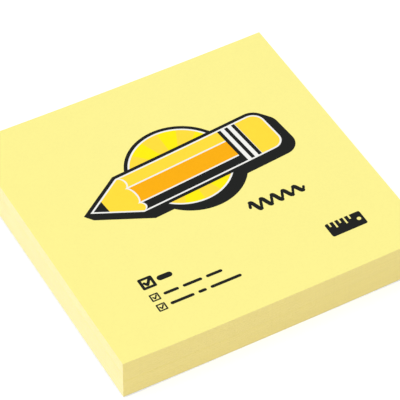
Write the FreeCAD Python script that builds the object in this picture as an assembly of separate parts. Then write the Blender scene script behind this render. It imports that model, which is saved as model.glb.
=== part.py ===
import FreeCAD, Part
import os

# A square pad of sticky notes, lying on a table, with every sheet a real leaf.
#
# Frame: the origin is at the middle of the underside, +Z is up, +X runs to the right across a note
# and +Y runs from the loose edge, which is peeled up, to the edge where the sheets are glued.
#
# The pad is three pieces. A backing sheet lies at the bottom and carries the last note. The block of
# notes stands on it. A cover sheet closes the top. Every note, and the cover, has one band of
# adhesive on its underside, along the glued edge. The band holds it to the sheet below and keeps
# the two papers a coat apart, so a hair-thin slit stays open under the rest of each sheet.

# Driving dimensions, in millimetres
NOTE_WIDTH = 76.0        # along X, across a note
NOTE_DEPTH = 76.0        # along Y, from the loose edge to the glued edge
NOTE_COUNT = 100         # blank notes in the block
NOTE_PAPER = 0.096       # thickness of a note without its adhesive
COVER_PAPER = 0.096      # thickness of the cover sheet without its adhesive
BACKING_PAPER = 0.12     # thickness of the smooth sheet that the last note sticks to
GLUE_BAND = 18.0         # width of the adhesive band along Y
GLUE_COAT = 0.006        # thickness of the adhesive, and so the height of each slit

# Places that follow from the driving dimensions
LEFT = -NOTE_WIDTH / 2
GLUED_EDGE = NOTE_DEPTH / 2
LOOSE_EDGE = -NOTE_DEPTH / 2
BAND_EDGE = GLUED_EDGE - GLUE_BAND
BLOCK_BASE = BACKING_PAPER
BLOCK_TOP = BLOCK_BASE + NOTE_COUNT * (GLUE_COAT + NOTE_PAPER)


def extruded_across_the_pad(profile):
    """A solid from points (y, z) of its side outline, as wide as a note."""
    corners = [FreeCAD.Vector(LEFT, y, z) for y, z in profile]
    outline = Part.makePolygon(corners + corners[:1])
    return Part.Face(outline).extrude(FreeCAD.Vector(NOTE_WIDTH, 0, 0))


def glued_leaves(base, count, paper):
    """Sheets stuck one on another, as one solid: a comb whose leaves meet only at the glue band.

    The outline starts at the foot of the glued edge, runs in and out round each leaf from the
    lowest to the highest, and comes back down the glued edge, where the coats fill every slit.
    """
    profile = [(GLUED_EDGE, base)]
    for leaf in range(count):
        coat_foot = base + leaf * (GLUE_COAT + paper)
        leaf_foot = coat_foot + GLUE_COAT
        leaf_top = leaf_foot + paper
        profile += [
            (BAND_EDGE, coat_foot),
            (BAND_EDGE, leaf_foot),
            (LOOSE_EDGE, leaf_foot),
            (LOOSE_EDGE, leaf_top),
        ]
    profile.append((GLUED_EDGE, leaf_top))
    return extruded_across_the_pad(profile)


def note_block():
    """The blank notes. A pad's sheets are one solid, open between the leaves."""
    return glued_leaves(BLOCK_BASE, NOTE_COUNT, NOTE_PAPER)


def cover_sheet():
    """The sheet that carries the print. It sticks to the first note as a note does."""
    return glued_leaves(BLOCK_TOP, 1, COVER_PAPER)


def backing_sheet():
    """The plain sheet under the pad. It has no adhesive of its own."""
    return extruded_across_the_pad(
        [
            (GLUED_EDGE, 0),
            (LOOSE_EDGE, 0),
            (LOOSE_EDGE, BACKING_PAPER),
            (GLUED_EDGE, BACKING_PAPER),
        ]
    )


PIECES = {
    "backing_sheet": backing_sheet,
    "note_block": note_block,
    "cover_sheet": cover_sheet,
}

os.makedirs("parts", exist_ok=True)
for node, make_piece in PIECES.items():
    piece = make_piece()
    piece.exportStep(f"parts/{node}.step")
    size = piece.BoundBox
    print(f"{node}: {size.XLength:.2f} x {size.YLength:.2f} x {size.ZLength:.3f} mm, "
          f"{piece.Volume:.0f} mm3, valid {piece.isValid()}")
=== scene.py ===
# %% [markdown]
# # A pad of sticky notes
#
# The pad is a hundred thin yellow notes, each stuck to the one below it by a band of weak adhesive
# along one edge. A printed cover sheet lies on top and a smooth backing sheet underneath. Nothing
# moves, so the whole pad is one body. The lesson goes from the paper outwards: how sheets stack and
# bend, what paper looks like, the pieces, the print, and at the end the floor, light and camera.
#
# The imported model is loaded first. It says where each piece is, and nothing here moves it.

# %% Load the frame
from math import atan2, cos, hypot, pi, radians, sin

import bmesh
import bpy
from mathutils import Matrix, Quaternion, Vector
from mathutils.geometry import convex_hull_2d, delaunay_2d_cdt


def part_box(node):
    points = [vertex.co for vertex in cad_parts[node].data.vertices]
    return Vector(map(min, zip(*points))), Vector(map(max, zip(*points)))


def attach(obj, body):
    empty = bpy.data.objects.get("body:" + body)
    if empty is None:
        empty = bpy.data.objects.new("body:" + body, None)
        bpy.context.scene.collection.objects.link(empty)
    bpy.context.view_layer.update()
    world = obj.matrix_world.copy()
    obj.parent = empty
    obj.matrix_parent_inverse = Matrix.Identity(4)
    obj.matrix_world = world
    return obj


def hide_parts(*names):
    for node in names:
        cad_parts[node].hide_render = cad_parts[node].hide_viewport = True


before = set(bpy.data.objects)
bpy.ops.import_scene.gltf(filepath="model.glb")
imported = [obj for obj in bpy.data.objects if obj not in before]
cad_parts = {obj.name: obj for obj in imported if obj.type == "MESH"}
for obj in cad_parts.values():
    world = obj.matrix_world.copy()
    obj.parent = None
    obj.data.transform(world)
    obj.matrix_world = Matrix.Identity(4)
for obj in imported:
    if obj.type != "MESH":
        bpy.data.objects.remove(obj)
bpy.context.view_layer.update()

MM = 0.001


def millimetres(values):
    """Lengths as rounded millimetres, for printing."""
    return [round(value / MM, 3) for value in values]


# %% [markdown]
# ## Where the sheets lie
#
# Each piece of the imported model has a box. From the boxes come the pad's width and depth, and the
# heights at which the backing, the block of notes and the cover begin. Reading them from the frame,
# and not typing them again, keeps the looks and the construction the same size.

# %% Read the sizes
backing_low, backing_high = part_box("backing_sheet")
block_low, block_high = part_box("note_block")
cover_low, cover_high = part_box("cover_sheet")

WIDTH = block_high.x - block_low.x
DEPTH = block_high.y - block_low.y
GLUED_EDGE = block_high.y
LOOSE_EDGE = block_low.y
PAD_TOP = cover_high.z

NOTE_COUNT = 100
GLUE_BAND = 18 * MM
COAT = 0.006 * MM
PITCH = (block_high.z - block_low.z) / NOTE_COUNT
NOTE_PAPER = PITCH - COAT
COVER_PAPER = cover_high.z - cover_low.z - COAT
BACKING_PAPER = backing_high.z - backing_low.z

print("paper of a note, the cover and the backing:",
      millimetres([NOTE_PAPER, COVER_PAPER, BACKING_PAPER]), "mm")

# %% [markdown]
# ## Trees of nodes
#
# A pad, the coats of adhesive between its sheets, its cover and its backing are the same thing with
# other numbers: flat boxes, one above another. They could be copied in a loop, or with an Array
# modifier, but then every copy would be identical. Geometry Nodes stacks them on a line of points,
# and each point may carry its own small slip, turn and tone, as real sheets do after the knife.
#
# Building a tree in a script is mostly two jobs, adding a node and feeding its inputs, so each has a
# helper. An input takes a wire from another node or a plain value, whichever it is given. A third
# helper begins a tree, with the inputs that its user may set.

# %% Begin a tree, add to it and feed its inputs
def feed(tree, value, socket):
    """Feed an input socket: by a wire from an output socket, or with a number or a colour."""
    if isinstance(value, bpy.types.NodeSocket):
        tree.links.new(value, socket)
    elif socket.type == "RGBA":
        socket.default_value = (*value, 1.0)
    else:
        socket.default_value = value


def add(tree, kind, **settings):
    """A new node in the tree. A setting that names an input socket feeds that socket."""
    node = tree.nodes.new(kind)
    for name, value in settings.items():
        if hasattr(node, name):
            setattr(node, name, value)
        else:
            feed(tree, value, node.inputs[name.replace("_", " ")])
    return node


def new_geometry_tree(name, inputs):
    """An empty Geometry Nodes tree with named inputs, and its input and output nodes."""
    tree = bpy.data.node_groups.new(name, "GeometryNodeTree")
    for label, kind in inputs.items():
        tree.interface.new_socket(name=label, in_out="INPUT", socket_type="NodeSocket" + kind)
    tree.interface.new_socket(name="Geometry", in_out="OUTPUT", socket_type="NodeSocketGeometry")
    return tree, add(tree, "NodeGroupInput"), add(tree, "NodeGroupOutput")


# %% [markdown]
# A sum in a tree takes one Math node for each operation. These helpers take sockets and plain numbers
# alike, so that a formula reads nearly as it would on paper.

# %% Calculate with nodes
def calculate(tree, operation, first, second=0.0):
    """The output of a Math node. Each operand is a socket or a number."""
    node = add(tree, "ShaderNodeMath", operation=operation)
    feed(tree, first, node.inputs[0])
    feed(tree, second, node.inputs[1])
    return node.outputs[0]


def product(tree, first, *others):
    """The product of several sockets and numbers."""
    for other in others:
        first = calculate(tree, "MULTIPLY", first, other)
    return first


def vector_of(tree, x=0.0, y=0.0, z=0.0):
    """A vector from its three parts. Each is a socket or a number."""
    return add(tree, "ShaderNodeCombineXYZ", X=x, Y=y, Z=z).outputs[0]


def parts_of(tree, vector):
    """The three parts of a vector."""
    return add(tree, "ShaderNodeSeparateXYZ", Vector=vector).outputs


def ramp(tree, value, start, end):
    """A smooth rise from 0 at start to 1 at end."""
    return add(tree, "ShaderNodeMapRange", interpolation_type="SMOOTHSTEP", Value=value,
               From_Min=start, From_Max=end).outputs[0]


def smooth_noise(tree, place, scale):
    """Noise between about -1 and 1 at a place, a socket that gives a vector."""
    noise = add(tree, "ShaderNodeTexNoise", Vector=place, Scale=scale, Detail=1.0)
    return calculate(tree, "MULTIPLY", calculate(tree, "SUBTRACT", noise.outputs[0], 0.5), 2.0)


# %% [markdown]
# ## How the pad lies
#
# Paper is never quite flat, and it is small bends that tell a pad from a block. Four of them are
# here, each a few tenths of a millimetre at most:
#
# - The sheets swell. Held at the glue band and free elsewhere, they rise and fall together in a long
#   low wave that grows towards the loose edge and fades at the top and bottom of the stack.
# - The pad leans. Its top stands a little to the right of its foot.
# - It cups. The left and right sides have risen, and the pad rests on its middle.
# - The free corners of the top sheets stand up, the left one most, and the lift dies away downwards.
#
# The swell and the lifted corners take some nodes, so each has a function of its own.

# %% Swell and lift
def swelling(tree, place):
    """The shared wave, from -1 to 1, at a place given as its three parts."""
    x, y, _ = place
    wave_length = 30 * MM
    slow_change = 0.02
    height = add(tree, "GeometryNodeInputNamedAttribute", data_type="FLOAT", Name="stack_height")
    height = height.outputs["Attribute"]
    spot = vector_of(tree, x=x, y=y, z=calculate(tree, "MULTIPLY", height, slow_change))
    belly = calculate(tree, "SINE", calculate(tree, "MULTIPLY", height, pi))
    looseness = ramp(tree, y, GLUED_EDGE - GLUE_BAND, LOOSE_EDGE)
    return product(tree, smooth_noise(tree, spot, 1 / wave_length), belly, looseness)


def corner_lift(tree, place, level):
    """How far the free corners are lifted, from 0 to 1, at a place given as its three parts."""
    x, y, _ = place
    reach = 16 * MM
    right_share = 0.25
    left = ramp(tree, x, reach - WIDTH / 2, -WIDTH / 2)
    right = product(tree, ramp(tree, x, WIDTH / 2 - reach, WIDTH / 2), right_share)
    near_edge = ramp(tree, y, LOOSE_EDGE + reach, LOOSE_EDGE)
    return product(tree, calculate(tree, "ADD", left, right), near_edge, level, level, level)


# %% [markdown]
# A Simple Deform modifier could bend a finished pad, but not with these four bends at once. So they are
# a tree of their own, which moves every point by where it is. Neighbouring sheets bend almost alike,
# and never cut each other. Everything on the pad goes through this tree, the ink too, so the print
# follows the cover wherever it goes.

# %% Build the tree that lets things settle
BENDS = ("Swell", "Lean", "Cup", "Corner Lift")
SETTLE_INPUTS = {"Geometry": "Geometry", **dict.fromkeys(BENDS, "Float")}


def moved(tree, geometry, offset):
    """The geometry with its points moved by an offset."""
    return add(tree, "GeometryNodeSetPosition", Geometry=geometry, Offset=offset).outputs[0]


def settled_on_the_table():
    """The tree that bends whatever goes through it as the pad is bent."""
    tree, group_input, group_output = new_geometry_tree("settled_on_the_table", SETTLE_INPUTS)
    given = group_input.outputs
    place = parts_of(tree, add(tree, "GeometryNodeInputPosition").outputs[0])
    level = calculate(tree, "DIVIDE", place[2], PAD_TOP)
    aside = calculate(tree, "DIVIDE", place[0], WIDTH / 2)

    rise = product(tree, aside, aside, given["Cup"])
    rise = calculate(tree, "ADD", rise, product(tree, swelling(tree, place), given["Swell"]))
    lift = product(tree, corner_lift(tree, place, level), given["Corner Lift"])
    rise = calculate(tree, "ADD", rise, lift)
    offset = vector_of(tree, x=product(tree, level, given["Lean"]), z=rise)
    feed(tree, moved(tree, given["Geometry"], offset), group_output.inputs[0])
    return tree


SETTLE_TREE = settled_on_the_table()
print("the tree that settles things has", len(SETTLE_TREE.nodes), "nodes")

# %% [markdown]
# ## How one leaf differs from the next
#
# A guillotine cuts the whole pad at once, so its sides are flush. They still aren't perfect: a
# sheet slips a hundredth of a millimetre, and the stack wanders in and out a few times as the blade
# bends. A Random Value node gives each sheet a slip of its own, and its seed gives the same pad in
# every run. Smooth noise up the stack gives the wandering, read along two rows so that the two
# directions differ. Both move the points before a leaf is put on each of them. A leaf's height in the
# stack and its tone are kept on its point, for later nodes.

# %% Stack the points
TONE_DRAW, SLIP_X_DRAW, SLIP_Y_DRAW, TURN_DRAW = 1, 2, 3, 4
WANDERS = 5.0
ANOTHER_ROW = 7.0


def random_share(tree, seed, draw):
    """A number between 0 and 1 for each element, different for each draw."""
    own_seed = calculate(tree, "ADD", seed, draw)
    return add(tree, "FunctionNodeRandomValue", data_type="FLOAT", Seed=own_seed).outputs[1]


def random_within(tree, size, seed, draw):
    """A number between -size and size for each element."""
    doubled = calculate(tree, "MULTIPLY", random_share(tree, seed, draw), 2.0)
    return calculate(tree, "MULTIPLY", calculate(tree, "SUBTRACT", doubled, 1.0), size)


def store(tree, geometry, label, value):
    """Keep a number on each point under a name, so that later nodes and materials can read it."""
    return add(tree, "GeometryNodeStoreNamedAttribute", data_type="FLOAT", domain="POINT",
               Geometry=geometry, Name=label, Value=value).outputs["Geometry"]


def points_of_the_stack(tree, given):
    """A point for each leaf, one above another, slipped and wandering a little."""
    middle_of_first = calculate(tree, "ADD", given["Foot"],
                                calculate(tree, "DIVIDE", given["Thickness"], 2.0))
    line = add(tree, "GeometryNodeMeshLine", Count=given["Count"],
               Start_Location=vector_of(tree, y=given["Middle"], z=middle_of_first),
               Offset=vector_of(tree, z=given["Pitch"]))

    number = add(tree, "GeometryNodeInputIndex").outputs[0]
    height = calculate(tree, "DIVIDE", number, given["Count"])
    points = store(tree, line.outputs[0], "stack_height", height)
    points = store(tree, points, "leaf_tone", random_share(tree, given["Seed"], TONE_DRAW))

    wander_x = smooth_noise(tree, vector_of(tree, x=height), WANDERS)
    wander_y = smooth_noise(tree, vector_of(tree, x=height, y=ANOTHER_ROW), WANDERS)
    shift = []
    for draw, wander in ((SLIP_X_DRAW, wander_x), (SLIP_Y_DRAW, wander_y)):
        slip = random_within(tree, given["Slip"], given["Seed"], draw)
        shift.append(calculate(tree, "ADD", slip, calculate(tree, "MULTIPLY", wander, given["Wander"])))
    return moved(tree, points, vector_of(tree, x=shift[0], y=shift[1]))


# %% [markdown]
# Each leaf is a box with points along its rims, so that it can bend. Instancing puts one on every
# point, and Realize Instances turns them into one mesh, because only then can its points be moved one
# by one. The settling tree comes after that, and the material last.

# %% Build the tree of leaves
LEAF_INPUTS = {
    "Count": "Int",
    "Pitch": "Float",
    "Foot": "Float",
    "Thickness": "Float",
    "Width": "Float",
    "Depth": "Float",
    "Middle": "Float",
    "Rim Points X": "Int",
    "Rim Points Y": "Int",
    "Slip": "Float",
    "Turn": "Float",
    "Wander": "Float",
    **dict.fromkeys(BENDS, "Float"),
    "Seed": "Int",
    "Material": "Material",
}


def stack_of_leaves():
    """The tree that makes any run of flat sheets, one above another."""
    tree, group_input, group_output = new_geometry_tree("stack_of_leaves", LEAF_INPUTS)
    given = group_input.outputs
    size = vector_of(tree, given["Width"], given["Depth"], given["Thickness"])
    leaf = add(tree, "GeometryNodeMeshCube", Size=size,
               Vertices_X=given["Rim Points X"], Vertices_Y=given["Rim Points Y"])
    turn = random_within(tree, given["Turn"], given["Seed"], TURN_DRAW)
    instances = add(tree, "GeometryNodeInstanceOnPoints", Points=points_of_the_stack(tree, given),
                    Instance=leaf.outputs["Mesh"], Rotation=vector_of(tree, z=turn))
    realize = add(tree, "GeometryNodeRealizeInstances", Geometry=instances.outputs[0])
    settled = add(tree, "GeometryNodeGroup", node_tree=SETTLE_TREE, Geometry=realize.outputs[0])
    for label in BENDS:
        feed(tree, given[label], settled.inputs[label])
    dressed = add(tree, "GeometryNodeSetMaterial", Geometry=settled.outputs[0],
                  Material=given["Material"])
    feed(tree, dressed.outputs[0], group_output.inputs[0])
    return tree


LEAF_TREE = stack_of_leaves()
print("the tree of leaves has", len(LEAF_TREE.nodes), "nodes")

# %% [markdown]
# ## Patterns and colours
#
# A material is a tree too, so the helpers above build it as well. Its patterns read Object
# coordinates, which are the true place on the pad in metres. That gives each pattern its real size:
# a scale of 1 over a width makes features about that wide. Stretching the coordinates one way turns
# round specks into streaks.

# %% Begin a material and place its patterns
def new_material(name, **finish):
    """A material with a Principled shader of some finish, its tree and that shader."""
    material = bpy.data.materials.new(name)
    material.use_nodes = True
    tree = material.node_tree
    tree.nodes.clear()
    shader = add(tree, "ShaderNodeBsdfPrincipled", **finish)
    add(tree, "ShaderNodeOutputMaterial", Surface=shader.outputs[0])
    return material, tree, shader


def object_place(tree, stretch=(1.0, 1.0, 1.0), turn=0.0):
    """Object coordinates for a pattern turned about Z and then stretched along its own axes."""
    place = add(tree, "ShaderNodeTexCoord").outputs["Object"]
    return add(tree, "ShaderNodeMapping", vector_type="TEXTURE", Vector=place, Scale=stretch,
               Rotation=(0.0, 0.0, turn)).outputs[0]


def noise_at(tree, feature, detail=2.0, **placing):
    """Noise whose features are about that many metres wide."""
    return add(tree, "ShaderNodeTexNoise", Vector=object_place(tree, **placing),
               Scale=1 / feature, Detail=detail).outputs[0]


# %% [markdown]
# Two things are done with a pattern. It blends two colours, or it makes one colour a little darker
# and lighter by turns, as paper is where its fibres lie thicker.

# %% Blend and shade colours
def blend(tree, share, first, second):
    """A colour between two. The share and the colours are sockets or values."""
    mix = add(tree, "ShaderNodeMix", data_type="RGBA")
    factor, first_colour, second_colour = mix.inputs[0], mix.inputs[6], mix.inputs[7]
    for socket, value in ((factor, share), (first_colour, first), (second_colour, second)):
        feed(tree, value, socket)
    mixed_colour = mix.outputs[2]
    return mixed_colour


def shaded(tree, colour, value, least, most):
    """The colour made darker or lighter, as a value between 0 and 1 goes from least to most."""
    level = add(tree, "ShaderNodeMapRange", Value=value, To_Min=least, To_Max=most).outputs[0]
    return add(tree, "ShaderNodeVectorMath", operation="SCALE", Vector=colour, Scale=level).outputs[0]


# %% [markdown]
# ## Paper
#
# The notes are uncoated paper, dyed yellow in the mass. Close up it has three scales of detail:
# clouds from under one to a few millimetres wide, where the fibres settled unevenly; single fibres, a
# millimetre long and very thin, which took a little less dye; and a fine tooth that makes the surface
# matt. Clouds and fibres vary the colour by two or three parts in a hundred, so they show from near
# and vanish from afar. Fibres and tooth are bump too.
#
# A cut edge isn't the same as a face. The knife leaves a fuzz of fibre ends, which scatter light at
# a shallow angle, so the material has sheen. Besides, the edges that face left and right are painted
# paler, a painted sheen, and those that face front and back are painted darker and more orange, a
# painted shade. The object's own normal tells a face from the two kinds of edge. A nick in the blade
# draws a faint streak down through all the sheets, which is noise stretched a hundred times along Z.

# %% Make the papers
CLOUD_WIDTH, MOTTLE_WIDTH, TOOTH_WIDTH = 6 * MM, 0.7 * MM, 0.14 * MM
NICK_WIDTH, FIBRE_WIDTH = 0.5 * MM, 0.06 * MM
FIBRE_STRETCH = (16.0, 1.0, 1.0)
FIBRE_TURNS = (0.35, 1.4, 2.5)
NICK_STRETCH = (1.0, 1.0, 100.0)
BUMP_HEIGHT = 0.01 * MM


def fibres(tree):
    """Long thin streaks in three directions, high where a fibre lies."""
    streaks = None
    for turn in FIBRE_TURNS:
        one_way = noise_at(tree, FIBRE_WIDTH, stretch=FIBRE_STRETCH, turn=turn)
        streaks = one_way if streaks is None else calculate(tree, "MAXIMUM", streaks, one_way)
    return streaks


def faces_along(tree, normal_part):
    """1 where a surface faces along the axis of that part of its normal, and 0 where it doesn't."""
    return ramp(tree, calculate(tree, "ABSOLUTE", normal_part), start=0.6, end=0.8)


def paper(name, face, x_sides_painted_sheen, y_sides_painted_shade, roughness, relief):
    """Uncoated paper, with a face colour, a painted sheen on the edges facing X and a painted shade on
    those facing Y.
    """
    material, tree, shader = new_material(
        name, Roughness=roughness, Sheen_Weight=0.25, Sheen_Roughness=0.4)
    normal = parts_of(tree, add(tree, "ShaderNodeTexCoord").outputs["Normal"])
    # The two masks pick the edges facing X, given a painted sheen, and those facing Y, given a painted
    # shade.
    across, along = faces_along(tree, normal[0]), faces_along(tree, normal[1])
    colour = blend(tree, along, blend(tree, across, face, x_sides_painted_sheen), y_sides_painted_shade)

    colour = shaded(tree, colour, noise_at(tree, CLOUD_WIDTH), least=0.975, most=1.0)
    colour = shaded(tree, colour, noise_at(tree, MOTTLE_WIDTH, detail=3.0), least=0.98, most=1.02)
    threads = fibres(tree)
    colour = shaded(tree, colour, ramp(tree, threads, start=0.58, end=0.72), least=0.995, most=1.03)
    tone = add(tree, "ShaderNodeAttribute", attribute_name="leaf_tone").outputs["Fac"]
    cut = calculate(tree, "ADD", across, along)
    colour = shaded(tree, colour, calculate(tree, "MULTIPLY", cut, tone), least=1.0, most=0.97)
    nicks = noise_at(tree, NICK_WIDTH, detail=3.0, stretch=NICK_STRETCH)
    nicks = ramp(tree, nicks, start=0.5, end=0.8)
    colour = shaded(tree, colour, calculate(tree, "MULTIPLY", cut, nicks), least=1.0, most=0.96)
    feed(tree, colour, shader.inputs["Base Color"])

    surface = calculate(tree, "ADD", noise_at(tree, TOOTH_WIDTH), threads)
    bump = add(tree, "ShaderNodeBump", Strength=relief, Distance=BUMP_HEIGHT, Height=surface)
    feed(tree, bump.outputs[0], shader.inputs["Normal"])
    return material


# The face is the paper's own colour. The edges facing left and right are painted paler as sheen, those
# facing front and back darker and more orange as shade.
NOTE_YELLOW = paper("yellow_paper", face=(0.968, 0.880, 0.260), x_sides_painted_sheen=(0.950, 0.863, 0.444),
                    y_sides_painted_shade=(0.936, 0.781, 0.273), roughness=0.6, relief=0.6)
BACKING_WHITE = (0.850, 0.830, 0.740)
BACKING = paper("release_paper", BACKING_WHITE, BACKING_WHITE, BACKING_WHITE, roughness=0.35, relief=0.1)
print("papers:", NOTE_YELLOW.name, BACKING.name)

# %% [markdown]
# ## A map of the leaves
#
# The export turns each finish into a picture, and needs to know which part of the picture covers which
# face. Left alone, it gives every face room by its size. A hundred leaves have two hundred broad faces
# that hide each other, and cut edges a tenth of a millimetre high, which is what one sees. So the
# leaves bring a map of their own, under the name that the export looks for. Each of the four cut sides
# has a strip as long as the picture is wide. What is left is one field that all tops share and one for
# all undersides. How much of the picture each gets goes by what can be seen of a piece: the rims of a
# stack, the top of the cover, the underside of the backing.

# %% Lay out a map
MAP_NAME = "OFBake"
MAP_GAP = 0.003
STACK_SHARES = {"rims": 0.88, "tops": 0.06}
COVER_SHARES = {"rims": 0.08, "tops": 0.86}
BACKING_SHARES = {"rims": 0.08, "tops": 0.06}


def place_on_map(normal, place, low, high, rims, tops):
    """Where a corner of a face lies on the map, from the face's normal and the corner's place."""
    x, y, z = place
    across_x, across_y = x / WIDTH + 0.5, y / DEPTH + 0.5
    mostly = 0.7
    if abs(normal.z) > mostly:
        start, end = (rims, rims + tops) if normal.z > 0 else (rims + tops, 1.0)
        u, v = across_x, across_y
    else:
        faces_x = abs(normal.x) > abs(normal.y)
        strip = (0 if faces_x else 2) + int(normal.x + normal.y > 0)
        start, end = strip * rims / 4, (strip + 1) * rims / 4
        u, v = (across_y if faces_x else across_x), (z - low) / (high - low)
    return MAP_GAP + (1 - 2 * MAP_GAP) * u, start + MAP_GAP + (end - start - 2 * MAP_GAP) * v


def lay_out(mesh, rims, tops):
    """Give the mesh a map, of which the rims have one share, the tops one and the undersides the rest."""
    heights = [vertex.co.z for vertex in mesh.vertices]
    low, high = min(heights), max(heights)
    places = []
    for face in mesh.polygons:
        for corner in face.vertices:
            places += place_on_map(face.normal, mesh.vertices[corner].co, low, high, rims, tops)
    mesh.uv_layers.new(name=MAP_NAME).uv.foreach_set("vector", places)


print("the rims have", STACK_SHARES["rims"], "of a stack's map and", COVER_SHARES["rims"], "of the cover's")

# %% [markdown]
# ## From a tree to a piece
#
# A modifier is only a recipe, and the export wants plain meshes. So each run of leaves is made by
# giving the tree its numbers, asking Blender for the result, and keeping that result as a mesh. The
# modifier is gone before the piece is told which body it rides on.

# %% Make a mesh by a tree
SEED = 7
PAD_BENDS = {"Lean": 0.25 * MM, "Cup": 0.4 * MM, "Corner_Lift": 0.25 * MM}


def made_by(tree, start, **given):
    """The plain mesh that a tree makes from a starting mesh, with its inputs set by name."""
    holder = bpy.data.objects.new("recipe", start)
    bpy.context.scene.collection.objects.link(holder)
    modifier = holder.modifiers.new("recipe", "NODES")
    modifier.node_group = tree
    for socket in tree.interface.items_tree:
        if socket.in_out == "INPUT" and socket.socket_type != "NodeSocketGeometry":
            modifier[socket.identifier] = given.get(socket.name.replace(" ", "_"), 0)
    evaluated = holder.evaluated_get(bpy.context.evaluated_depsgraph_get())
    mesh = bpy.data.meshes.new_from_object(evaluated)
    bpy.data.objects.remove(holder)
    bpy.data.meshes.remove(start)
    return mesh


def leaves(shares, **given):
    """The mesh of a run of leaves, bent as the whole pad is, with a map that has those shares."""
    mesh = made_by(LEAF_TREE, bpy.data.meshes.new("start"), Seed=SEED, **PAD_BENDS, **given)
    lay_out(mesh, **shares)
    return mesh


# %% [markdown]
# Each mesh then becomes an object, which rides on the pad's body. A closed mesh has two faces at every
# edge, so counting the edges that haven't shows at once whether a piece has a hole or a stray face.

# %% Turn a mesh into a piece and describe it
def as_piece(name, mesh, node=None):
    """An object from a finished mesh. It rides on the pad's one body and may stand for a CAD node."""
    piece = bpy.data.objects.new(name, mesh)
    mesh.name = name
    bpy.context.scene.collection.objects.link(piece)
    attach(piece, "root")
    if node:
        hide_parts(node)
    return piece


def describe(piece):
    """Print a piece's height range, its triangles and how many of its edges are open."""
    form = bmesh.new()
    form.from_mesh(piece.data)
    heights = [vertex.co.z for vertex in form.verts]
    triangles = sum(len(face.verts) - 2 for face in form.faces)
    open_edges = sum(not edge.is_manifold for edge in form.edges)
    form.free()
    print(f"{piece.name}: z {millimetres([min(heights), max(heights)])} mm, "
          f"{triangles} triangles, {open_edges} open edges")


# %% [markdown]
# ## The notes
#
# A hundred leaves make the block. Each is a closed sheet of its true thickness with seventeen points
# along a side, enough for its bends. Beside the bends that the whole pad has, only the notes swell.

# %% Make the notes
RIM_POINTS = 17

notes = as_piece("notes", leaves(
    STACK_SHARES, Material=NOTE_YELLOW, Count=NOTE_COUNT, Pitch=PITCH, Foot=block_low.z + COAT,
    Thickness=NOTE_PAPER, Width=WIDTH, Depth=DEPTH, Rim_Points_X=RIM_POINTS, Rim_Points_Y=RIM_POINTS,
    Slip=0.012 * MM, Turn=0.0002, Wander=0.05 * MM, Swell=0.12 * MM), "note_block")
describe(notes)

# %% [markdown]
# ## Their adhesive
#
# The adhesive is a second run of a hundred thin strips, one in each slit under the glue band. It
# stops a little short of the glued edge, because the coating is laid inside the sheet's edge and the
# knife never cuts through it. The same tree makes it, with other numbers.

# %% Make the coats
EDGE_FREE_OF_GLUE = 0.5 * MM

adhesive = as_piece("adhesive_coats", leaves(
    STACK_SHARES, Material=NOTE_YELLOW, Count=NOTE_COUNT, Pitch=PITCH, Foot=block_low.z, Thickness=COAT,
    Width=WIDTH - 2 * EDGE_FREE_OF_GLUE, Depth=GLUE_BAND - 2 * EDGE_FREE_OF_GLUE,
    Middle=GLUED_EDGE - GLUE_BAND / 2, Rim_Points_X=RIM_POINTS, Rim_Points_Y=2))
describe(adhesive)

# %% [markdown]
# ## The cover and the backing
#
# The cover is one more leaf, so the same tree makes it with a count of one. It has as many points
# along a side as a note, so that the two bend alike. The backing is smooth release paper, which the
# last note peels away from. It has no adhesive.

# %% Make the two single sheets
cover = as_piece("cover", leaves(
    COVER_SHARES, Material=NOTE_YELLOW, Count=1, Foot=cover_low.z + COAT, Thickness=COVER_PAPER,
    Width=WIDTH, Depth=DEPTH, Rim_Points_X=RIM_POINTS, Rim_Points_Y=RIM_POINTS),
    "cover_sheet")
describe(cover)

backing = as_piece("backing", leaves(
    BACKING_SHARES, Material=BACKING, Count=1, Foot=backing_low.z, Thickness=BACKING_PAPER,
    Width=WIDTH, Depth=DEPTH, Rim_Points_X=RIM_POINTS, Rim_Points_Y=2),
    "backing_sheet")
describe(backing)

# %% [markdown]
# ## Shapes for the print
#
# The print is a handful of flat fields in five inks. It could be a picture on the cover, but a picture
# blurs from near, and fields keep their edges sharp at any distance. Their outlines are worked out in
# millimetres on the cover, with X to the right and Y towards the glued edge. Most are built from a
# circle or a bar.

# %% Draw circles and bars
def circle(middle, radius, steps=72, start=0.0, end=2 * pi):
    """Points on a circle, or on the arc from start to end."""
    whole = end - start >= 2 * pi
    count = steps if whole else steps + 1
    angles = [start + (end - start) * i / steps for i in range(count)]
    return [(middle[0] + radius * cos(a), middle[1] + radius * sin(a)) for a in angles]


def bar(low, high):
    """An upright rectangle between two corners."""
    return [low, (high[0], low[1]), high, (low[0], high[1])]


def shifted(outline, offset):
    """The outline moved by an offset."""
    return [(x + offset[0], y + offset[1]) for x, y in outline]


print("a whole circle is drawn with", len(circle((0, 0), 1)), "points")

# %% [markdown]
# A keyline runs round a figure at an even distance. Each corner of the figure moves out along the
# middle of its two sides' normals, and farther the sharper it is, so that both sides end up equally
# far away.

# %% Grow an outline
def grown(outline, distance):
    """A counter-clockwise outline moved outwards all round, with its corners kept sharp."""
    result = []
    for i, (x, y) in enumerate(outline):
        before, after = outline[i - 1], outline[(i + 1) % len(outline)]
        normals = []
        for start, end in ((before, (x, y)), ((x, y), after)):
            dx, dy = end[0] - start[0], end[1] - start[1]
            normals.append((dy / hypot(dx, dy), -dx / hypot(dx, dy)))
        (ax, ay), (bx, by) = normals
        reach = distance / (1 + ax * bx + ay * by)
        result.append((x + (ax + bx) * reach, y + (ay + by) * reach))
    return result


print("a square with sides of 2, grown by 1:", grown(bar((0, 0), (2, 2)), 1))

# %% [markdown]
# A pen's line is a field too. It is easiest as one capsule for each straight bit, a bar with two round
# ends. The capsules overlap, which does no harm: the print is cut where fields overlap.

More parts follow.
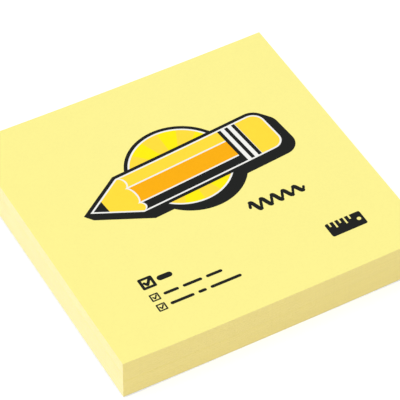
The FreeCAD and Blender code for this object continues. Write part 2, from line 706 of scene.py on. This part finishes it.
# %% Draw with a pen
def pen_line(points, width, steps=8):
    """The outlines of a line drawn with a round pen: one capsule for each straight bit."""
    capsules = []
    for (ax, ay), (bx, by) in zip(points, points[1:]):
        length = hypot(bx - ax, by - ay)
        ux, uy = (bx - ax) / length, (by - ay) / length
        capsule = []
        for first, (x, y) in ((-pi / 2, (ax, ay)), (pi / 2, (bx, by))):
            for i in range(steps + 1):
                angle = first - pi * i / steps
                along, aside = cos(angle) * width / 2, sin(angle) * width / 2
                capsule.append((x + ux * along - uy * aside, y + uy * along + ux * aside))
        capsules.append(capsule[::-1])
    return capsules


def nib_line(points, thin, thick, slant):
    """The outlines of a line drawn with a broad nib: thick across its slant, thin along it."""
    outlines = []
    for start, end in zip(points, points[1:]):
        direction = atan2(end[1] - start[1], end[0] - start[0])
        outlines += pen_line([start, end], thin + (thick - thin) * abs(sin(direction - slant)))
    return outlines


print("a line of two bits takes", len(pen_line([(0, 0), (1, 0), (1, 1)], width=0.5)), "capsules")

# %% [markdown]
# ## The emblem's sun
#
# A round sunburst with a pencil lying across it fills the middle of the cover. Each entry of the print
# is an ink and an outline, in printing order: what is printed later covers what is below it. So the sun
# is one bright disc, with every other ray printed over it in amber.

# %% Draw the sun
SUN_MIDDLE = (0.6, 8.0)
SUN_RADIUS = 11.6
SUN_RAYS = 16


def sunburst():
    """The sun's fields: one bright disc, and every other ray in amber."""
    fields = [("yellow", circle(SUN_MIDDLE, SUN_RADIUS))]
    step = 2 * pi / SUN_RAYS
    for ray in range(0, SUN_RAYS, 2):
        start = ray * step
        fields.append(("amber", [SUN_MIDDLE, *circle(SUN_MIDDLE, SUN_RADIUS, 6, start, start + step)]))
    return fields


print("the sun has", len(sunburst()), "fields")

# %% [markdown]
# ## The emblem's pencil
#
# The pencil has what a real one has: a lead, a sharpened cone, a barrel of which three faces show, a
# ferrule with bands, and a rubber. It is drawn lying along its own axis, from the tip, and turned onto
# the cover at the end. That keeps its numbers plain: how far along, and how far aside.

# %% Outline the pencil
PENCIL_TIP = (-23.2, 4.6)
PENCIL_TILT = radians(5)
PENCIL_LENGTH = 47.6
PENCIL_HALF = 11.4 / 2
CONE_LENGTH = 9.6
RUBBER_CORNER = 2.6


def on_pencil(points):
    """Points given along and across the pencil, placed on the cover."""
    c, s = cos(PENCIL_TILT), sin(PENCIL_TILT)
    return [(PENCIL_TIP[0] + c * u - s * v, PENCIL_TIP[1] + s * u + c * v) for u, v in points]


def pencil_outline():
    """The whole pencil: a sharp tip, straight sides and a rounded rubber."""
    middle, aside = PENCIL_LENGTH - RUBBER_CORNER, PENCIL_HALF - RUBBER_CORNER
    lower = circle((middle, -aside), RUBBER_CORNER, 10, -pi / 2, 0)
    upper = circle((middle, aside), RUBBER_CORNER, 10, 0, pi / 2)
    return on_pencil([(0, 0), (CONE_LENGTH, -PENCIL_HALF), *lower, *upper, (CONE_LENGTH, PENCIL_HALF)])


print("the pencil's outline has", len(pencil_outline()), "points")

# %% [markdown]
# The barrel is six-sided, so three of its faces show, with a pale line at each ridge. Where a
# sharpener cuts such a barrel, its faces end in three bows. The cone is printed over the barrel with
# the same bows, first a little longer in white, which leaves a white line between the two.

# %% Draw the barrel, the cone and the lead
LOW_RIDGE, HIGH_RIDGE = -3.2, 2.2
RIDGE_HALF = 0.2
BOW_DEPTH = 1.1
LEAD_LENGTH = 3.1
FERRULE_START, FERRULE_END = 36.8, 41.6


def barrel():
    """The barrel's three faces and the two ridges between them, from the lowest up."""
    stripes = (("black", -PENCIL_HALF, LOW_RIDGE - RIDGE_HALF),
               ("white", LOW_RIDGE - RIDGE_HALF, LOW_RIDGE + RIDGE_HALF),
               ("orange", LOW_RIDGE + RIDGE_HALF, HIGH_RIDGE - RIDGE_HALF),
               ("white", HIGH_RIDGE - RIDGE_HALF, HIGH_RIDGE + RIDGE_HALF),
               ("amber", HIGH_RIDGE + RIDGE_HALF, PENCIL_HALF))
    return [(shade, on_pencil(bar((CONE_LENGTH, bottom), (FERRULE_START, top))))
            for shade, bottom, top in stripes]


def cone():
    """The sharpened wood, with a white line where it meets the barrel, and the lead."""
    fields = []
    edges = (-PENCIL_HALF, LOW_RIDGE, HIGH_RIDGE, PENCIL_HALF)
    for shade, reach in (("white", CONE_LENGTH + 2 * RIDGE_HALF), ("amber", CONE_LENGTH)):
        scallops = []
        for low, high in zip(edges, edges[1:]):
            middle, radius = (low + high) / 2, (high - low) / 2
            bow = [(reach + BOW_DEPTH * cos(a), middle + radius * sin(a))
                   for a in [pi / 2 * i / 6 for i in range(-6, 7)]]
            scallops += bow if not scallops else bow[1:]
        fields.append((shade, on_pencil([(0, 0), *scallops])))
    lead_half = PENCIL_HALF * LEAD_LENGTH / CONE_LENGTH
    lead = [(0, 0), (LEAD_LENGTH, -lead_half), (LEAD_LENGTH, lead_half)]
    return fields + [("black", on_pencil(lead))]


print("the barrel has", len(barrel()), "fields, and the cone with its lead", len(cone()))

# %% [markdown]
# The ferrule is the metal sleeve that holds the rubber. Pressed bands run round it, which the print
# shows as three black stripes on white. What the pencil's outline leaves beyond them is the rubber.

# %% Draw the ferrule and put the pencil together
BAND_STARTS = (0.0, 1.9, 3.8)
BAND_WIDTH = 0.9


def across_pencil(start, end):
    """A stripe over the pencil's whole width."""
    return on_pencil(bar((start, -PENCIL_HALF), (end, PENCIL_HALF)))


def ferrule():
    """The white sleeve and its black bands."""
    fields = [("white", across_pencil(FERRULE_START, FERRULE_END))]
    for start in BAND_STARTS:
        start += FERRULE_START
        fields.append(("black", across_pencil(start, start + BAND_WIDTH)))
    return fields


def pencil():
    """The pencil's fields, from the barrel's three faces to the bands of the ferrule."""
    return [("amber", pencil_outline())] + barrel() + cone() + ferrule()


print("the pencil has", len(pencil()), "fields")

# %% [markdown]
# ## Keyline, outline and shadow
#
# Sun and pencil both have a white keyline, a black outline and a black shadow to the lower right, so
# that the bright inks stand off the pale paper. The shadow is the outline swept along, which for a
# shape with no hollows is the hull of its two ends. Both shadows are printed first, or the pencil's
# would fall on the sun.

# %% Put the emblem together
KEYLINE = 0.42
OUTLINE = 0.88
SHADOW = (1.5, -2.0)


def under(figure):
    """What is printed under a figure: its shadow, its outline and its keyline."""
    line = grown(figure, KEYLINE + OUTLINE)
    swept = line + shifted(line, SHADOW)
    shadow = [swept[i] for i in convex_hull_2d([Vector(point) for point in swept])]
    return [("black", shadow), ("black", line), ("white", grown(figure, KEYLINE))]


sun_shadow, *sun_lines = under(circle(SUN_MIDDLE, SUN_RADIUS))
pencil_shadow, *pencil_lines = under(pencil_outline())
emblem = [sun_shadow, pencil_shadow, *sun_lines, *sunburst(), *pencil_lines, *pencil()]
print("the emblem has", len(emblem), "fields")

# %% [markdown]
# ## A squiggle
#
# Three plain marks in black go with the emblem. The first, below it, is a squiggle from a broad nib:
# a wave that is tall at first and runs out. A broad nib makes a thick line across its slant and a thin
# one along it, which gives the wave its rhythm.

# %% Draw the squiggle
SQUIGGLE_START, SQUIGGLE_END, SQUIGGLE_LEVEL = 7.9, 21.5, -11.1
SQUIGGLE_WAVES = 5
SQUIGGLE_HEIGHT = 1.35
SQUIGGLE_FADE = 0.35


def squiggle(steps=84):
    """A wave from a pen, tall at first and running out to a flourish."""
    points = []
    for i in range(steps + 1):
        share = i / steps
        height = SQUIGGLE_HEIGHT * (1 - SQUIGGLE_FADE * share)
        x = SQUIGGLE_START + (SQUIGGLE_END - SQUIGGLE_START) * share
        points.append((x, SQUIGGLE_LEVEL + height * sin(share * SQUIGGLE_WAVES * 2 * pi)))
    return nib_line(points, thin=0.45, thick=1.15, slant=radians(50))


print("the squiggle has", len(squiggle()), "strokes")

# %% [markdown]
# ## A ruler
#
# Near the right side is a short ruler, a dark bar with rounded corners. A "bare" field leaves the
# paper free of ink. The notches along its upper edge and the hole at its end are such fields, which
# is simpler than an outline that runs in and out.

# %% Draw the ruler
RULER_CORNER = (19.4, -27.8)
RULER_LENGTH, RULER_HEIGHT = 8.9, 4.1
ROUNDING = 0.45
FIRST_NOTCH, NOTCH_PITCH, NOTCH_WIDTH, NOTCHES = 0.85, 1.25, 0.42, 5
SHORT_NOTCH, LONG_NOTCH = 1.2, 2.0
HOLE_FROM_END, HOLE_RADIUS = 1.15, 0.5


def ruler():
    """A short ruler: a dark bar with bare notches along its upper edge and a bare hole."""
    left, right = ROUNDING, RULER_LENGTH - ROUNDING
    bottom, top = ROUNDING, RULER_HEIGHT - ROUNDING
    body = []
    for middle, start in (((left, bottom), pi), ((right, bottom), 3 * pi / 2),
                          ((right, top), 0.0), ((left, top), pi / 2)):
        body += circle(middle, ROUNDING, 4, start, start + pi / 2)
    hole = circle((RULER_LENGTH - HOLE_FROM_END, RULER_HEIGHT / 2), HOLE_RADIUS, 16)
    fields = [("black", body), ("bare", hole)]
    past_edge = 0.1
    for i in range(NOTCHES):
        depth = LONG_NOTCH if i % 2 else SHORT_NOTCH
        start = FIRST_NOTCH + NOTCH_PITCH * i
        notch = bar((start, RULER_HEIGHT - depth), (start + NOTCH_WIDTH, RULER_HEIGHT + past_edge))
        fields.append(("bare", notch))
    return [(shade, shifted(outline, RULER_CORNER)) for shade, outline in fields]


print("the ruler has", len(ruler()), "fields")

# %% [markdown]
# ## A checklist
#
# At the lower left is a short checklist of three rows, the first one bold. Each row is a ticked box
# and a few dashes. The rows are a small table, so that a loop can draw them: where a row is, how big
# its box and how thick its two pens are, and where its dashes start and end.

# %% Draw the checklist
LIST_LEFT = -24.0
TICK = ((0.25, 0.55), (0.44, 0.27), (0.78, 0.76))
BOLD = {"side": 2.7, "pen": 0.7, "dash": 1.5}
LIGHT = {"side": 1.8, "pen": 0.36, "dash": 0.8}
ROWS = (
    {"level": -19.8, **BOLD, "dashes": [(4.5, 6.7)]},
    {"level": -24.3, **LIGHT, "dashes": [(3.4, 6.3), (8.1, 12.0), (13.8, 17.0)]},
    {"level": -27.5, **LIGHT, "dashes": [(3.4, 8.4), (10.2, 11.4), (13.2, 20.0)]},
)


def tick_box(corner, side, pen):
    """An open square with a tick in it."""
    x, y = corner
    square = [(x, y), (x + side, y), (x + side, y + side), (x, y + side), (x, y)]
    tick = [(x + share * side, y + height * side) for share, height in TICK]
    return pen_line(square, pen) + pen_line(tick, pen)


def list_row(level, side, pen, dash, dashes):
    """A box, and after it dashes from start to end, all at one level."""
    outlines = tick_box((LIST_LEFT, level - side / 2), side, pen)
    for start, end in dashes:
        outlines += pen_line([(LIST_LEFT + start, level), (LIST_LEFT + end, level)], dash)
    return outlines


strokes = squiggle() + [stroke for row in ROWS for stroke in list_row(**row)]
small_marks = [("black", stroke) for stroke in strokes] + ruler()
print("the small marks have", len(small_marks), "fields")

# %% [markdown]
# ## Print without overlaps
#
# Layers of ink could be stacked, each a hair above the last, but stacked faces flicker when they are
# seen from far away. A printer's own answer is better: cut every field so that each spot of paper
# takes one ink. Blender's planar triangulation does the cutting. It returns small triangles and says
# which outlines each one lies in, and the last of them in printing order is the ink that shows.
#
# Points of a grid go in with the outlines, so that no triangle is long and the ink can bend with the
# cover.

# %% Cut the print
GRID_HALF, GRID_SPACING = 36, 4
SAME_POINT = 1e-5


def cut_print(fields):
    """The print's points, and the triangles of each ink, with no two inks on the same spot."""
    ticks = range(-GRID_HALF, GRID_HALF + 1, GRID_SPACING)
    corners, faces = [Vector((x, y)) for x in ticks for y in ticks], []
    for _, outline in fields:
        faces.append(list(range(len(corners), len(corners) + len(outline))))
        corners += [Vector(point) for point in outline]
    inside_outlines = 1
    points, _, cells, _, _, owners = delaunay_2d_cdt(corners, [], faces, inside_outlines, SAME_POINT)
    triangles = {}
    for cell, lies_in in zip(cells, owners):
        if lies_in:
            shown = fields[max(lies_in)][0]
            triangles.setdefault(shown, []).append(cell)
    triangles.pop("bare", None)
    return points, triangles


print_points, print_triangles = cut_print(emblem + small_marks)
print("triangles of each ink:", {shade: len(cells) for shade, cells in print_triangles.items()})

# %% [markdown]
# ## Ink
#
# Printing ink lies on the paper as an even film, a touch smoother than the paper, with faint clouds
# in its density. It hides the paper's fibres but takes on its tooth, so it gets a weaker bump of the
# same width. It has little gloss of its own: a dark field would otherwise turn grey under the sky.

# %% Make the inks
INKS = {
    "amber": (1.0, 0.723, 0.045),
    "yellow": (0.991, 0.855, 0.002),
    "orange": (0.956, 0.429, 0.002),
    "white": (0.9, 0.9, 0.86),
    "black": (0.011, 0.012, 0.011),
}
INK_CLOUD_WIDTH = 1.5 * MM


def ink(name, colour):
    """Printing ink with a plain colour and faint clouds in it."""
    material, tree, shader = new_material("ink_" + name, Roughness=0.75, Specular_IOR_Level=0.1)
    clouds = noise_at(tree, INK_CLOUD_WIDTH, detail=3.0)
    feed(tree, shaded(tree, colour, clouds, least=0.96, most=1.02), shader.inputs["Base Color"])
    tooth = noise_at(tree, TOOTH_WIDTH)
    bump = add(tree, "ShaderNodeBump", Strength=0.15, Distance=BUMP_HEIGHT, Height=tooth)
    feed(tree, bump.outputs[0], shader.inputs["Normal"])
    return material


# %% [markdown]
# Each ink becomes a closed film, a hundredth of a millimetre thick, with its rim walled in, and goes
# through the same tree as the sheets. Where two parts of an ink meet at one corner only, each gets a
# corner of its own, or their walls would share an edge.

# %% Make the films
FILM = 0.012 * MM


def film(points, triangles, material):
    """The mesh of a closed film of ink on the cover."""
    form = bmesh.new()
    corners = {i: form.verts.new((points[i].x * MM, points[i].y * MM, PAD_TOP))
               for i in sorted({i for triangle in triangles for i in triangle})}
    for triangle in triangles:
        form.faces.new([corners[i] for i in triangle])
    for corner in list(corners.values()):
        bmesh.utils.vert_separate(corner, [])
    form.verts.index_update()
    low = [tuple(vertex.co) for vertex in form.verts]
    faces = [[vertex.index for vertex in face.verts] for face in form.faces]
    form.free()

    high = [(x, y, z + FILM) for x, y, z in low]
    up = len(low)
    sides = [(face[i - 1], face[i]) for face in faces for i in range(len(face))]
    shared = set(sides)
    walls = [(a, b, b + up, a + up) for a, b in sides if (b, a) not in shared]
    underside = [face[::-1] for face in faces]
    top = [[i + up for i in face] for face in faces]
    flat = bpy.data.meshes.new("flat_film")
    flat.from_pydata(low + high, [], underside + top + walls)
    flat.materials.append(material)
    return made_by(SETTLE_TREE, flat, **PAD_BENDS)


for shade, triangles in print_triangles.items():
    mesh = film(print_points, triangles, ink(shade, INKS[shade]))
    describe(as_piece("ink_" + shade, mesh))

# %% [markdown]
# ## Floor
#
# The pad lies on a white table. The floor shows white to the camera, because a little of its own light
# is added there, but it still takes the pad's shadow. Making the lamps stronger would whiten it too,
# and bleach the pad. Light Path tells a ray that ends at the camera, or gets there by a mirror or
# through glass, from one that lights something else.

# %% Set the floor
FLOOR_SIDE = 6.0
FLOOR_GREY = 0.8
FLOOR_GLOW = 0.36
WHITE = (1.0, 1.0, 1.0)


def seen_directly(tree):
    """1 for a ray from the camera, or one by way of a mirror or through glass."""
    path = add(tree, "ShaderNodeLightPath").outputs
    seen = calculate(tree, "MAXIMUM", path["Is Camera Ray"], path["Is Glossy Ray"])
    return calculate(tree, "MAXIMUM", seen, path["Is Transmission Ray"])


def table_white():
    """Matt white, with just enough light of its own to reach white where nothing shades it."""
    grey = (FLOOR_GREY, FLOOR_GREY, FLOOR_GREY)
    material, tree, shader = new_material(
        "table_white", Base_Color=grey, Roughness=0.9, Specular_IOR_Level=0.0, Emission_Color=WHITE)
    glow = calculate(tree, "MULTIPLY", seen_directly(tree), FLOOR_GLOW)
    feed(tree, glow, shader.inputs["Emission Strength"])
    return material


floor_form = bmesh.new()
bmesh.ops.create_grid(floor_form, x_segments=1, y_segments=1, size=FLOOR_SIDE / 2)
floor_mesh = bpy.data.meshes.new("floor")
floor_form.to_mesh(floor_mesh)
floor_form.free()
floor_mesh.materials.append(table_white())
floor = bpy.data.objects.new("floor", floor_mesh)
bpy.context.scene.collection.objects.link(floor)
print("the floor is", FLOOR_SIDE, "m wide")

# %% [markdown]
# ## Light
#
# The light is soft and almost without shadows. A white sky lights everything evenly. One large lamp
# stands above, and a stronger one low on the left, so that the left side is as bright as the top and
# the front side is the dark one. Sizes matter more than places here: a lamp nearly as wide as it is
# far away has no hard edge to its shadow.

# %% Set the light
SKY_LEVEL = 0.87
scene = bpy.context.scene
sky = bpy.data.worlds.new("white_sky")
scene.world = sky
sky.use_nodes = True
sky_tree = sky.node_tree
sky_tree.nodes.clear()
level = add(sky_tree, "ShaderNodeMapRange", Value=seen_directly(sky_tree), To_Min=SKY_LEVEL, To_Max=1.0)
background = add(sky_tree, "ShaderNodeBackground", Color=WHITE, Strength=level.outputs[0])
add(sky_tree, "ShaderNodeOutputWorld", Surface=background.outputs[0])


def softbox(name, place, side, power):
    """A square lamp aimed at the pad."""
    lamp = bpy.data.lights.new(name, "AREA")
    lamp.size = side
    lamp.energy = power
    holder = bpy.data.objects.new(name, lamp)
    holder.location = place
    holder.rotation_euler = (-Vector(place)).to_track_quat("-Z", "Y").to_euler()
    scene.collection.objects.link(holder)
    print(name, "stands", round(Vector(place).length, 2), "m away")


softbox("softbox_above", place=(-0.2, -0.1, 1.0), side=0.8, power=1.0)
softbox("softbox_left", place=(-0.9, -0.1, 0.35), side=0.7, power=2.8)

# %% [markdown]
# ## Camera
#
# The camera is far away with a long lens, which keeps opposite edges of the pad nearly parallel. Its
# place was worked out from the pad's edges as they are seen, with the pad's true size. It is given as
# an aim on the pad, a distance, two angles round the aim and a slight roll.

# %% Set the camera
CAMERA_AIM = Vector((1.905, 0.982, 5.2)) * MM
CAMERA_DISTANCE = 564.3 * MM
CAMERA_AZIMUTH = radians(-27.992)
CAMERA_ELEVATION = radians(46.081)
CAMERA_ROLL = radians(-0.92)
FOCAL_LENGTH = 225.0

back = Vector((sin(CAMERA_AZIMUTH) * cos(CAMERA_ELEVATION),
               -cos(CAMERA_AZIMUTH) * cos(CAMERA_ELEVATION), sin(CAMERA_ELEVATION)))
lens = bpy.data.cameras.new("camera")
lens.lens = FOCAL_LENGTH
lens.sensor_width = 36.0
lens.clip_start = 0.01
camera = bpy.data.objects.new("camera", lens)
camera.location = CAMERA_AIM + back * CAMERA_DISTANCE
aim = (-back).to_track_quat("-Z", "Y") @ Quaternion((0.0, 0.0, 1.0), CAMERA_ROLL)
camera.rotation_euler = aim.to_euler()
scene.collection.objects.link(camera)
scene.camera = camera
scene.view_settings.view_transform = "Standard"
print("the camera stands", round(CAMERA_DISTANCE, 3), "m away")
